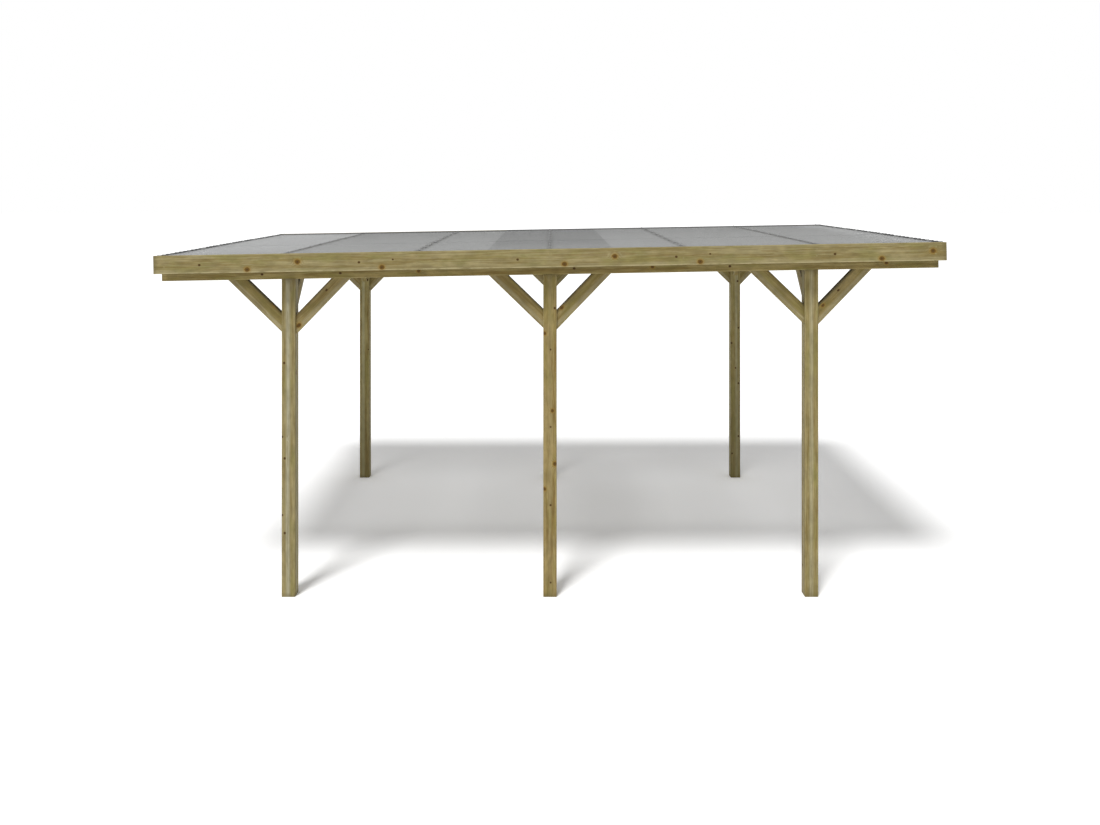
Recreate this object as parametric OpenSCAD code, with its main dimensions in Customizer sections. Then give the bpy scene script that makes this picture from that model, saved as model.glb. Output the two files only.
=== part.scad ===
// Timber carport with a low-pitched corrugated roof.
// Two rows of three posts carry a purlin each. Rafters lie across the purlins, fascia boards
// close the roof's edge, and knee braces stiffen every post along and across the roof.
// The long front faces -Y, the roof rises towards +X, and the feet stand on z = 0.

/* [Roof] */
// Length over the long fascia boards
roof_length = 5190; // [4800:10:5600]
// Width over the long fascia boards
roof_width = 3000; // [2600:10:3600]
// Rise of the roof towards its high end, in degrees
roof_slope = 1; // [0.5:0.1:3]
// Ground to the underside of the purlins, at mid length
clear_height = 2150; // [1900:10:2600]

/* [Posts] */
// Side of the square posts
post_size = 90; // [70:1:120]
// Centre distance of neighbouring posts along the roof
post_spacing = 1745; // [1450:5:2000]
// Distance from the outer face of a long fascia to the outer face of the posts
eaves_overhang = 125; // [80:1:250]

/* [Purlins] */
// Width of a purlin, across the roof
purlin_width = 90; // [60:1:120]
// Depth of a purlin, up and down
purlin_depth = 90; // [80:1:140]
// Distance that a purlin's end lies back from the end of the long fascias
purlin_setback = 5; // [0:1:20]

/* [Rafters] */
// Width of a rafter, along the roof
rafter_width = 45; // [35:1:70]
// Depth of a rafter, up and down
rafter_depth = 70; // [60:1:120]

/* [Knee braces] */
// Width of a brace, seen from its side
brace_width = 90; // [60:1:110]
// Thickness of a brace
brace_thickness = 45; // [30:1:65]
// Reach of a brace's outer edge, along the beam and down the post
brace_leg = 365; // [300:5:500]

/* [Fascia boards] */
// Thickness of the fascia boards
fascia_thickness = 18; // [14:1:28]
// Depth of the long fascia boards
fascia_depth = 120; // [100:1:160]
// Distance that an end fascia lies back from the end of the long fascias
end_fascia_inset = 30; // [22:1:60]
// Clearance on each side of a purlin in the notch of an end fascia
notch_clearance = 1; // [0.5:0.1:4]

/* [Roof sheets] */
// Length of a sheet, along its waves
sheet_length = 3000; // [2850:10:3200]
// Distance that a sheet's end lies back from the end of the long fascias
sheet_setback = 5; // [0:1:20]
// Number of sheets side by side
sheets_across = 3; // [2:1:4]
// Distance from crest to crest
wave_pitch = 76; // [60:1:110]
// Height of the waves over the whole sheet
wave_height = 18; // [12:1:30]
// Thickness of a sheet, measured upright
sheet_thickness = 1.2; // [1:0.1:2]
// Width that neighbouring sheets share
side_lap = 114; // [76:1:190]
// Clearance between sheets that lie on each other
lap_clearance = 0.2; // [0.1:0.1:0.8]
// Clearance between the outer sheets and the long fascias
fascia_clearance = 1; // [0.5:0.5:6]

/* [Edges] */
// Bevel on the long edges of posts and purlins
post_bevel = 4; // [1:0.5:8]
// Bevel on the long edges of rafters, braces and fascias
board_bevel = 2; // [0.5:0.5:4]

/* [Hidden] */
COLUMNS = ["left", "middle", "right"];
ROWS = ["front", "rear"];
RAFTERS = ["left_end", "left_post", "left_bay", "middle", "right_bay", "right_post", "right_end"];
SHEET_TIERS = ["low", "high"];
TIMBER = "#94865e";
SHADED_TIMBER = "#8a7b53";
SHEET = "#a6a8a6";
LEFT = -1;
RIGHT = 1;
// Straight steps that draw one wave of a sheet
WAVE_STEPS = 12;
// Extra length on a brace before its ends are cut to the post and the beam
BRACE_SPARE = 20;

row_offset = roof_width / 2 - eaves_overhang - post_size / 2;
rafter_length = roof_width - 2 * fascia_thickness;
purlin_length = roof_length - 2 * purlin_setback;
sheet_reach = roof_length / 2 - sheet_setback;
end_fascia_face = roof_length / 2 - end_fascia_inset;
end_rafter_x = end_fascia_face - fascia_thickness - rafter_width / 2;
rafter_x = [
    -end_rafter_x,
    -post_spacing,
    -post_spacing / 2,
    0,
    post_spacing / 2,
    post_spacing,
    end_rafter_x,
];

// Levels of the roof frame, measured square to its slope from the underside of the purlins
rafter_base = purlin_depth;
sheet_base = rafter_base + rafter_depth;
fascia_top = sheet_base + wave_height;
fascia_base = fascia_top - fascia_depth;
tilt_level = (fascia_top + fascia_base) / 2;
tilt_height = clear_height + tilt_level;

// Widths of the roof sheets, which lap each other and fill the space between the long fascias
sheets_width = rafter_length - 2 * fascia_clearance;
sheet_width = (sheets_width + (sheets_across - 1) * side_lap) / sheets_across;
sheet_layer = sheet_thickness + lap_clearance;
wave_step = wave_pitch / WAVE_STEPS;
wave_swing = (wave_height - sheet_thickness) / 2;

function post_x(column) = (column - 1) * post_spacing;
function row_side(row) = 2 * row - 1;
function row_y(row) = row_side(row) * row_offset;
function post_name(column, row) = str(ROWS[row], "_", COLUMNS[column], "_post");
function side_name(side) = side == LEFT ? "left" : "right";
function brace_name(column, row, side) = str(post_name(column, row), "_", side_name(side), "_brace");
function cross_brace_name(column, row) = str(post_name(column, row), "_cross_brace");
function sheet_name(tier, place) = str(SHEET_TIERS[tier], "_roof_sheet_", place + 1);

// Height of a level of the sloping roof frame, upright over x
function level_height(level, x) =
    tilt_height + x * tan(roof_slope) - (tilt_level - level) / cos(roof_slope);

// Rectangle about the origin with bevelled corners
function bevelled(w, d, bevel) = [
    for (corner = [[1, 1], [-1, 1], [-1, -1], [1, -1]])
        each let (
            near = [corner.x * (w / 2 - bevel), corner.y * d / 2],
            far = [corner.x * w / 2, corner.y * (d / 2 - bevel)]
        ) (corner.x * corner.y > 0 ? [far, near] : [near, far])
];

// Height of a roof sheet's wave at y, with a crest over the middle of the roof
function wave(y) = wave_swing * (1 + cos(360 * y / wave_pitch));

// The same wave drawn in straight steps, so that lapped sheets share their corners
function stepped_wave(y) =
    let (
        first = floor(y / wave_step),
        share = y / wave_step - first
    )
    (1 - share) * wave(first * wave_step) + share * wave((first + 1) * wave_step);

// Corners of a sheet's wave from one edge to the other
function wave_line(y_low, y_high) = [
    for (y = concat(
        [y_low],
        [for (step = [floor(y_low / wave_step) + 1 : ceil(y_high / wave_step) - 1]) step * wave_step],
        [y_high]
    ))
        [y, stepped_wave(y)]
];

NODES = concat(
    [for (row = [0, 1]) for (column = [0 : 2]) post_name(column, row)],
    [for (row = [0, 1]) str(ROWS[row], "_purlin")],
    [for (name = RAFTERS) str(name, "_rafter")],
    [for (row = [0, 1]) for (column = [0 : 2]) for (side = [LEFT, RIGHT]) brace_name(column, row, side)],
    [for (row = [0, 1]) for (column = [0 : 2]) cross_brace_name(column, row)],
    [for (row = [0, 1]) str(ROWS[row], "_fascia")],
    [for (side = [LEFT, RIGHT]) str(side_name(side), "_end_fascia")],
    [for (tier = [0, 1]) for (place = [0 : sheets_across - 1]) sheet_name(tier, place)]
);
node = "all";

function shown(name) = node == "all" || node == name;

// Places its children in the sloping roof frame
module on_slope() {
    translate([0, 0, tilt_height])
        rotate([0, -roof_slope, 0])
            translate([0, 0, -tilt_level])
                children();
}

// Everything over a level of the sloping roof frame
module over(level) {
    on_slope()
        translate([-roof_length, -roof_width, level])
            cube([2 * roof_length, 2 * roof_width, clear_height]);
}

// Beam about the x axis
module beam_along_x(length, w, d, bevel) {
    rotate([90, 0, 90])
        linear_extrude(height = length, center = true)
            polygon(bevelled(w, d, bevel));
}

// Beam about the y axis
module beam_along_y(length, w, d, bevel) {
    rotate([90, 0, 0])
        linear_extrude(height = length, center = true)
            polygon(bevelled(w, d, bevel));
}

// Brace blank under the corner of a post's face (x = 0) and a beam's underside (z = 0)
module brace_blank() {
    reach = brace_leg / sqrt(2);
    rotate([0, -45, 0])
        translate([0, 0, brace_width / 2 - reach])
            beam_along_x(2 * (reach + BRACE_SPARE), brace_thickness, brace_width, board_bevel);
}

// Upright block behind the post's face, which trims the foot of a brace
module behind_face() {
    translate([-brace_leg, -post_size, -2 * brace_leg])
        cube([brace_leg, 2 * post_size, 3 * brace_leg]);
}

module post(column, row) {
    x = post_x(column);
    color(TIMBER)
        difference() {
            translate([x, row_y(row), 0])
                linear_extrude(height = level_height(purlin_depth, x))
                    polygon(bevelled(post_size, post_size, post_bevel));
            over(0);
        }
}

module purlin(row) {
    color(SHADED_TIMBER)
        on_slope()
            translate([0, row_y(row), purlin_depth / 2])
                beam_along_x(purlin_length, purlin_width, purlin_depth, post_bevel);
}

module rafter(x) {
    color(SHADED_TIMBER)
        on_slope()
            translate([x, 0, rafter_base + rafter_depth / 2])
                beam_along_y(rafter_length, rafter_width, rafter_depth, board_bevel);
}

module brace(column, row, side) {
    face_x = post_x(column) + side * post_size / 2;
    color(TIMBER)
        difference() {
            translate([face_x, row_y(row), level_height(0, face_x)])
                rotate([0, -roof_slope, 0])
                    rotate([0, 0, side == LEFT ? 180 : 0])
                        brace_blank();
            over(0);
            translate([face_x, row_y(row), level_height(0, face_x)])
                rotate([0, 0, side == LEFT ? 180 : 0])
                    behind_face();
        }
}

module cross_brace(column, row) {
    x = post_x(column);
    face_y = row_y(row) - row_side(row) * post_size / 2;
    color(TIMBER)
        difference() {
            translate([x, face_y, level_height(rafter_base, x)])
                rotate([0, 0, -90 * row_side(row)])
                    brace_blank();
            over(rafter_base);
            translate([x, face_y, level_height(rafter_base, x)])
                rotate([0, 0, -90 * row_side(row)])
                    behind_face();
        }
}

module long_fascia(row) {
    color(TIMBER)
        on_slope()
            translate([0, row_side(row) * (roof_width - fascia_thickness) / 2, tilt_level])
                beam_along_x(roof_length, fascia_thickness, fascia_depth, board_bevel);
}

module end_fascia(side) {
    depth = sheet_base - fascia_base;
    notch_width = purlin_width + 2 * notch_clearance;
    color(TIMBER)
        on_slope()
            difference() {
                translate([side * (end_fascia_face - fascia_thickness / 2), 0, fascia_base + depth / 2])
                    beam_along_y(rafter_length, fascia_thickness, depth, board_bevel);
                for (row = [0, 1])
                    translate([
                        side * end_fascia_face - fascia_thickness,
                        row_y(row) - notch_width / 2,
                        rafter_base - purlin_depth,
                    ])
                        cube([2 * fascia_thickness, notch_width, purlin_depth]);
            }
}

// Sheets of the high tier lie on the low tier, and every second sheet on its neighbours
module roof_sheet(tier, place) {
    y_low = place * (sheet_width - side_lap) - sheets_width / 2;
    lift = (2 * tier + place % 2) * sheet_layer;
    x_low = tier == 0 ? -sheet_reach : sheet_reach - sheet_length;
    line = wave_line(y_low, y_low + sheet_width);
    back = [for (i = [len(line) - 1 : -1 : 0]) line[i] + [0, sheet_thickness]];
    color(SHEET)
        on_slope()
            translate([x_low, 0, sheet_base + lift])
                rotate([90, 0, 90])
                    linear_extrude(height = sheet_length)
                        polygon(concat(line, back));
}

for (row = [0, 1], column = [0 : 2])
    if (shown(post_name(column, row))) post(column, row);
for (row = [0, 1])
    if (shown(str(ROWS[row], "_purlin"))) purlin(row);
for (i = [0 : len(RAFTERS) - 1])
    if (shown(str(RAFTERS[i], "_rafter"))) rafter(rafter_x[i]);
for (row = [0, 1], column = [0 : 2], side = [LEFT, RIGHT])
    if (shown(brace_name(column, row, side))) brace(column, row, side);
for (row = [0, 1], column = [0 : 2])
    if (shown(cross_brace_name(column, row))) cross_brace(column, row);
for (row = [0, 1])
    if (shown(str(ROWS[row], "_fascia"))) long_fascia(row);
for (side = [LEFT, RIGHT])
    if (shown(str(side_name(side), "_end_fascia"))) end_fascia(side);
for (tier = [0, 1], place = [0 : sheets_across - 1])
    if (shown(sheet_name(tier, place))) roof_sheet(tier, place);
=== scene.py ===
"""Looks of a timber carport: treated pine, corrugated roof sheets, fixings and a plain studio.

Lengths are in metres. A piece's own line, u, runs along its grain, and v and w lie across it.
A step is a smooth change between two values. Where it doesn't go from 0 to 1, two more numbers
say what comes out before and after it.
"""

import logging
import math
from dataclasses import dataclass, field
from enum import Enum
from typing import Iterable, Iterator, NamedTuple, Sequence, Union

import bpy
import numpy as np
from mathutils import Euler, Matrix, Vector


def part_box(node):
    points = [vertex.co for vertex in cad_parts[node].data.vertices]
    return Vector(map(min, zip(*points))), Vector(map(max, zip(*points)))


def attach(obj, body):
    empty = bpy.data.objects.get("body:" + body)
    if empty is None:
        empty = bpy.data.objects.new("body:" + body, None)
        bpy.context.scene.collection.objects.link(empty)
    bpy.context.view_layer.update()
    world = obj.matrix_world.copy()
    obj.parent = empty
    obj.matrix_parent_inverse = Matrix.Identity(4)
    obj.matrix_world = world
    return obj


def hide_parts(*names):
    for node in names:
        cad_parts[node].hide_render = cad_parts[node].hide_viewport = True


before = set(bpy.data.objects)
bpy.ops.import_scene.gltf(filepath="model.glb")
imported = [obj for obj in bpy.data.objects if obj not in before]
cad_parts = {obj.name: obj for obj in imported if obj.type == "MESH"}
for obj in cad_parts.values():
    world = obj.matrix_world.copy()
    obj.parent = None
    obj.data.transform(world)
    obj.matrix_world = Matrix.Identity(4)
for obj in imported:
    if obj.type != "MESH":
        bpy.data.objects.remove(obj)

LOG = logging.getLogger("carport")
BODY = "root"
TINTED = "tinted_face"
PHOTO_WIDTH = 1100
PHOTO_HEIGHT = 825
POSTS = [f"{row}_{column}_post" for row in ("front", "rear") for column in ("left", "middle", "right")]
ROOF_SLOPE = 1.0
ROOF_PIVOT = (0.0, 0.0, 2.268)
PIVOT_LEVEL = 0.118
WAVE_PITCH = 0.076
BAY = 0.8725
END_RAFTER = 2.5245
RAFTER_PLACES = np.array([-END_RAFTER, -2.0 * BAY, -BAY, 0.0, BAY, 2.0 * BAY, END_RAFTER])
RAFTER_HALF = (0.0225, 0.035)
TIGHT_KNOT = 0.0108
FAR = 99.0
VECTORS = ("Vector", "Half Size", "Pith", "Centre", "Fineness", "Grain Way")
COLOURS = ("Color", "Tint")

Socket = bpy.types.NodeSocket
Feed = Union[float, Sequence[float], Socket]
Feeds = dict[Union[int, str], Feed]
Point = tuple[float, float, float]
Pair = tuple[float, float]
Step = tuple[float, ...]


def linear(code: str) -> tuple[float, float, float, float]:
    """Turns a colour code into the linear colour that a shader takes.

    Args:
        code: Six hexadecimal digits, red, green and blue, as a screen shows them.

    Returns:
        Red, green, blue and a full alpha, each from 0 to 1.
    """
    parts = np.array([int(code[i:i + 2], 16) for i in (0, 2, 4)]) / 255.0
    light = np.where(parts <= 0.04045, parts / 12.92, ((parts + 0.055) / 1.055) ** 2.4)
    return (*light.tolist(), 1.0)


class Pattern(NamedTuple):
    """Noise: its bumps per metre along u, v and w, its octaves and the weight of the finer ones."""

    stretch: Point
    octaves: float = 2.0
    finer: float = 0.5


@dataclass
class Graph:
    """A node tree, with short calls that add one node each and give back its output."""

    tree: bpy.types.NodeTree
    ends: dict[str, bpy.types.Node] = field(default_factory=dict)

    @classmethod
    def group(cls, name: str, takes: Sequence[str], gives: Sequence[str]) -> "Graph":
        """Makes an empty node group with named sockets.

        Args:
            name: The group's name.
            takes: Its inputs' names.
            gives: Its outputs' names.

        Returns:
            The group's graph, whose two ends are the group's input and output nodes.
        """
        graph = cls(bpy.data.node_groups.new(name, "ShaderNodeTree"))
        for way, sockets in (("INPUT", takes), ("OUTPUT", gives)):
            for socket in sockets:
                kind = "Vector" if socket in VECTORS else "Color" if socket in COLOURS else "Float"
                graph.tree.interface.new_socket(socket, in_out=way, socket_type=f"NodeSocket{kind}")
        graph.ends = {"in": graph.add("NodeGroupInput"), "out": graph.add("NodeGroupOutput")}
        return graph

    @classmethod
    def material(cls, name: str) -> tuple["Graph", bpy.types.Material, bpy.types.Node]:
        """Makes a material with one Principled shader.

        Args:
            name: The material's name.

        Returns:
            Its graph, the material and the shader node.
        """
        made = bpy.data.materials.new(name)
        made.use_nodes = True
        return cls(made.node_tree), made, made.node_tree.nodes["Principled BSDF"]

    def feed(self, node: bpy.types.Node, feeds: Feeds) -> bpy.types.Node:
        """Links outputs to a node's inputs, or sets the inputs' own values.

        Args:
            node: The node.
            feeds: An output or a value for each input, by the input's name or number.

        Returns:
            The node.
        """
        for key, value in feeds.items():
            if isinstance(value, bpy.types.NodeSocket):
                self.tree.links.new(value, node.inputs[key])
            else:
                node.inputs[key].default_value = value
        return node

    def add(self, kind: str, feeds: Union[Feeds, None] = None, **settings: object) -> bpy.types.Node:
        """Adds a node.

        Args:
            kind: The node's type name.
            feeds: An output or a value for each input, by the input's name or number.
            settings: Properties to set on it first.

        Returns:
            The node.
        """
        node = self.tree.nodes.new(kind)
        for name, value in settings.items():
            setattr(node, name, value)
        return self.feed(node, feeds or {})

    def take(self, name: str) -> Socket:
        """The group's own input of that name."""
        return self.ends["in"].outputs[name]

    def give(self, **values: Socket) -> None:
        """Links values to the group's outputs."""
        self.feed(self.ends["out"], values)

    def use(self, group: "Graph", **values: Feed) -> dict[str, Socket]:
        """Places a node group and gives its outputs; _ in a keyword stands for a space."""
        feeds = {name.replace("_", " "): value for name, value in values.items()}
        return dict(self.add("ShaderNodeGroup", feeds, node_tree=group.tree).outputs.items())

    def math(self, operation: str, *values: Feed) -> Socket:
        """One Math node on one to three values."""
        return self.add("ShaderNodeMath", dict(enumerate(values)), operation=operation).outputs[0]

    def times(self, first: Feed, second: Feed) -> Socket:
        """The product of two values."""
        return self.math("MULTIPLY", first, second)

    def plus(self, base: Feed, value: Feed, weight: Feed) -> Socket:
        """The base plus a weighted value."""
        return self.math("MULTIPLY_ADD", value, weight, base)

    def swung(self, base: Feed, noise: Socket, reach: float) -> Socket:
        """The base, moved to and fro by noise about 0.5."""
        return self.plus(base, self.math("SUBTRACT", noise, 0.5), reach)

    def vector(self, operation: str, *values: Feed) -> Socket:
        """One Vector Math node; LENGTH and DOT_PRODUCT give a number."""
        node = self.add("ShaderNodeVectorMath", dict(enumerate(values)), operation=operation)
        return node.outputs["Value" if operation in ("LENGTH", "DOT_PRODUCT") else "Vector"]

    def parts(self, vector: Feed) -> tuple[Socket, ...]:
        """The three numbers of a vector."""
        return tuple(self.add("ShaderNodeSeparateXYZ", {0: vector}).outputs)

    def ramp(self, value: Feed, low: Feed, high: Feed, start: Feed = 0.0, end: Feed = 1.0) -> Socket:
        """A smooth step of the value between low and high, from start to end."""
        feeds = {"Value": value, "From Min": low, "From Max": high, "To Min": start, "To Max": end}
        return self.add("ShaderNodeMapRange", feeds, interpolation_type="SMOOTHSTEP").outputs[0]

    def fade(self, value: Feed, low: Feed, high: Feed) -> Socket:
        """A smooth step of the value between low and high, from 1 to 0."""
        return self.ramp(value, low, high, 1.0, 0.0)

    def noise(self, place: Socket, pattern: Pattern, seed: Feed = 0.0) -> Socket:
        """Noise about 0.5, whose pattern the seed moves.

        Args:
            place: The place, in metres.
            pattern: The noise's pattern.
            seed: A number that gives each piece its own noise.

        Returns:
            The noise.
        """
        feeds = {"Vector": self.vector("MULTIPLY", place, pattern.stretch), "W": seed, "Scale": 1.0,
                 "Detail": pattern.octaves, "Roughness": pattern.finer}
        return self.add("ShaderNodeTexNoise", feeds, noise_dimensions="4D").outputs[0]

    def mix(self, share: Feed, first: Feed, second: Feed, blend: str = "MIX") -> Socket:
        """Lays the second colour on the first by its share."""
        return self.add("ShaderNodeMix", {0: share, 6: first, 7: second}, data_type="RGBA",
                        blend_type=blend, clamp_factor=True).outputs[2]

    def layers(self, tone: Feed, *coats: tuple[Feed, Feed]) -> Feed:
        """Lays colours over a tone, one after another.

        Args:
            tone: The colour underneath.
            coats: Each colour's share and the colour.

        Returns:
            The mixed colour.
        """
        for share, colour in coats:
            tone = self.mix(share, tone, colour)
        return tone

    def place(self, centre: Point, turn: Point) -> Socket:
        """Object coordinates, centred and turned to a piece's own line.

        Args:
            centre: The piece's centre.
            turn: The turn of its line from X, in degrees about X, Y and Z.

        Returns:
            The place in the piece's own u, v and w.
        """
        feeds = {"Vector": self.add("ShaderNodeTexCoord").outputs["Object"], "Location": centre,
                 "Rotation": tuple(math.radians(angle) for angle in turn)}
        return self.add("ShaderNodeMapping", feeds, vector_type="TEXTURE").outputs[0]


class Run(Enum):
    """The way that a member's grain runs, as the turn of its line from X, in degrees."""

    UPRIGHT = (0.0, -90.0, 0.0)
    ALONG = (0.0, -ROOF_SLOPE, 0.0)
    ACROSS = (-ROOF_SLOPE, 0.0, 90.0)
    UP_RIGHT = (0.0, -45.0 - ROOF_SLOPE, 0.0)
    UP_LEFT = (0.0, -135.0 - ROOF_SLOPE, 0.0)
    UP_REAR = (0.0, -45.0, 90.0)
    UP_FRONT = (0.0, -45.0, -90.0)

    def matrix(self) -> np.ndarray:
        """The turn as a matrix, whose columns are u, v and w in the object's frame."""
        return np.array(Euler([math.radians(angle) for angle in self.value]).to_matrix())


class Knot(NamedTuple):
    """A knot: its centre on the member's own line, and its half sizes along u, v and w."""

    centre: Point
    reach: Point

    @property
    def tight(self) -> bool:
        """True for a small dead knot, which is dark and leaves the grain round it straight."""
        return self.reach[0] < TIGHT_KNOT


def seen_knots(places: Iterable[Point], face: float, stretch: float, depth: float = 0.05) -> tuple[Knot, ...]:
    """Knots that go in from a face, longer along the grain than across it.

    Args:
        places: Each knot's u, w and half size across the grain.
        face: The face's v.
        stretch: How much longer a knot is along the grain.
        depth: How far it goes in.

    Returns:
        The knots.
    """
    return tuple(Knot((u, face, w), (size * stretch, depth, size)) for u, w, size in places)


class PineGroups:
    """The node groups that every treated pine member shares, with their colours and numbers."""

    STRAW = linear("a99c70")
    OLIVE = linear("8d7e4e")
    SAGE = linear("b4ae90")
    MOSS = linear("8f8850")
    # Rubbed edges, and a painted highlight along the fascias' lower edges.
    RUBBED_AND_HIGHLIT = linear("c2b68a")
    LATE = linear("7d6737")
    HALO = linear("9a7524")
    HEART = linear("855f14")
    EYE = linear("3c2b08")
    RIM = linear("43340d")
    TIGHT = linear("4d340a")
    END = linear("7a6b42")
    # Soaked ends, and also painted shade towards the foot of the rear posts.
    SOAKED_AND_SHADE = linear("6a5f3c")
    # Painted shade on the braces' top faces, which lie in the roof's shade.
    TOP_SHADE = linear("2e270c")

    FIBRES = {"Fibre": Pattern((11.0, 520.0, 520.0), 3.0, 0.6),
              "Streak": Pattern((2.8, 44.0, 44.0), 4.0, 0.68),
              "Mottle": Pattern((4.5, 15.0, 15.0), 3.0, 0.55),
              "Blotch": Pattern((14.0, 30.0, 30.0), 3.0, 0.6)}
    SWING = Pattern((0.7, 9.0, 9.0))
    RIPPLE = Pattern((7.0, 60.0, 60.0))
    RAGGED = Pattern((70.0, 110.0, 110.0))
    BROKEN = Pattern((16.0, 60.0, 60.0), 3.0)
    WANDER = Pattern((1.1, 0.0, 0.0))

    RING_WIDTH = 0.0048
    RING_SWING = 0.034
    RING_RIPPLE = 0.0042
    RING_PUSH = 0.012
    LATE_RISE = (0.3, 0.88)
    LATE_DROP = (0.9, 1.0)

    KNOT_SWING = 0.55
    KNOT_YEARS = 21.0
    YEAR_DEPTH = 0.2
    CORE_STEP = (0.82, 1.12)
    EYE_STEP = (0.25, 0.95, 1.0, 0.15)
    RIM_RISE = (0.62, 0.9)
    RIM_DROP = (0.98, 1.16)
    HALO_STEP = (0.8, 2.7)
    PUSH_STEP = (0.0, 3.4)
    TIGHT_STEP = (0.65, 1.25)

    ARRIS = 0.0015
    BROKEN_STEP = (0.3, 0.58)
    UPPER_SIDE = (-0.01, 0.01)
    END_SWING = 0.05
    SOAKED_STEP = (0.0, 0.04)
    TOP_SHADE_SWING = 0.03
    TOP_SHADE_STEP = (0.0, 0.016)
    BAND_SWING = 0.022
    BAND_STEP = (0.004, 0.021)
    FACE_STEP = (0.001, 0.005)

    OLIVE_STEP = (0.39, 0.63)
    MOSS_STEP = (0.45, 0.64)
    DARK_STEP = (0.5, 0.66)
    FIBRE_LIGHT = (0.25, 0.75, 0.86, 1.1)
    BLOTCH_LIGHT = (0.3, 0.7, 0.87, 1.13)
    # Height over which painted shade darkens a post towards its foot.
    FOOT_SHADE_STEP = (0.0, 1.5)
    END_STEP = (0.5, 0.75)
    MOSS_SHARE = 0.7
    LATE_SHARE = 0.42
    SOAKED_SHARE = 0.5
    HALO_SHARE = 0.7
    HALO_POWER = 2.0
    RIM_SHARE = 0.5
    END_SHARE = 0.6
    DRY_STEP = (0.2, 0.8, 0.58, 0.76)
    KNOT_GLOSS = -0.16
    FIBRE_HEIGHT = 0.7
    RING_HEIGHT = 0.35
    KNOT_HEIGHT = 0.3

    def __init__(self) -> None:
        """Builds the groups once."""
        self.knot = self._knot()
        self.rings = self._rings()
        self.fibre = self._fibre()
        self.marks = self._marks()
        self.arris = self._arris()
        self.timber = self._timber()

    def _knot(self) -> Graph:
        """Distance from one knot, in its own half sizes, and the least of it and the knots before.

        Returns:
            The group's graph.
        """
        g = Graph.group("pine_knot", ("Vector", "Centre", "Fineness", "Nearest"), ("Nearest",))
        away = g.vector("SUBTRACT", g.take("Vector"), g.take("Centre"))
        length = g.vector("LENGTH", g.vector("MULTIPLY", away, g.take("Fineness")))
        g.give(Nearest=g.math("MINIMUM", length, g.take("Nearest")))
        return g

    def _rings(self) -> Graph:
        """Growth rings round an offset pith: distance from it, swung by drawn-out noise, cut in rings.

        Returns:
            The group's graph.
        """
        g = Graph.group("pine_rings", ("Vector", "Pith", "Seed", "Push"), ("Late",))
        place, seed = g.take("Vector"), g.take("Seed")
        across = g.vector("MULTIPLY", g.vector("SUBTRACT", place, g.take("Pith")), (0.0, 1.0, 1.0))
        radius = g.swung(g.vector("LENGTH", across), g.noise(place, self.SWING, seed), self.RING_SWING)
        radius = g.swung(radius, g.noise(place, self.RIPPLE, seed), self.RING_RIPPLE)
        radius = g.plus(radius, g.take("Push"), self.RING_PUSH)
        phase = g.math("FRACT", g.math("DIVIDE", radius, self.RING_WIDTH))
        g.give(Late=g.math("SUBTRACT", g.ramp(phase, *self.LATE_RISE), g.ramp(phase, *self.LATE_DROP)))
        return g

    def _fibre(self) -> Graph:
        """Noise drawn out along the grain at four widths: fibres, streaks, mottled patches and blotches.

        Returns:
            The group's graph.
        """
        g = Graph.group("pine_fibre", ("Vector", "Seed"), tuple(self.FIBRES))
        g.give(**{name: g.noise(g.take("Vector"), pattern, g.take("Seed"))
                  for name, pattern in self.FIBRES.items()})
        return g

    def _marks(self) -> Graph:
        """What a knot does to the timber near it, from the distance to its edge with a ragged outline.

        Returns:
            The group's graph.
        """
        g = Graph.group("pine_knot_marks", ("Vector", "Nearest", "Seed"),
                        ("Core", "Eye", "Rim", "Halo", "Push"))
        nearest = g.take("Nearest")
        edge = g.swung(nearest, g.noise(g.take("Vector"), self.RAGGED, g.take("Seed")), self.KNOT_SWING)
        year = g.plus(1.0 - self.YEAR_DEPTH, g.math("SINE", g.times(edge, self.KNOT_YEARS)), self.YEAR_DEPTH)
        g.give(Core=g.fade(edge, *self.CORE_STEP), Eye=g.times(g.ramp(edge, *self.EYE_STEP), year),
               Rim=g.times(g.ramp(edge, *self.RIM_RISE), g.fade(edge, *self.RIM_DROP)),
               Halo=g.fade(edge, *self.HALO_STEP), Push=g.fade(nearest, *self.PUSH_STEP))
        return g

    def _arris(self) -> Graph:
        """Rubbed long edges, which on the fascias also stand for a painted highlight, and soaked ends.

        The wider of the gaps to the two faces is the distance to the edge, and the gap along the
        grain is the distance to the end.

        Returns:
            The group's graph.
        """
        g = Graph.group("pine_arris", ("Vector", "Half Size", "Seed", "Width", "Upper Wear"),
                        ("Wear", "Soaked"))
        place = g.take("Vector")
        u, v, w = g.parts(g.vector("SUBTRACT", g.take("Half Size"), g.vector("ABSOLUTE", place)))
        broken = g.noise(place, self.BROKEN, g.take("Seed"))
        near = g.fade(g.math("MAXIMUM", v, w), self.ARRIS, g.take("Width"))
        wear = g.times(near, g.ramp(broken, *self.BROKEN_STEP))
        upper = g.ramp(g.parts(place)[2], *self.UPPER_SIDE, 1.0, g.take("Upper Wear"))
        g.give(Wear=g.times(wear, upper),
               Soaked=g.fade(g.swung(u, broken, self.END_SWING), *self.SOAKED_STEP))
        return g

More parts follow.
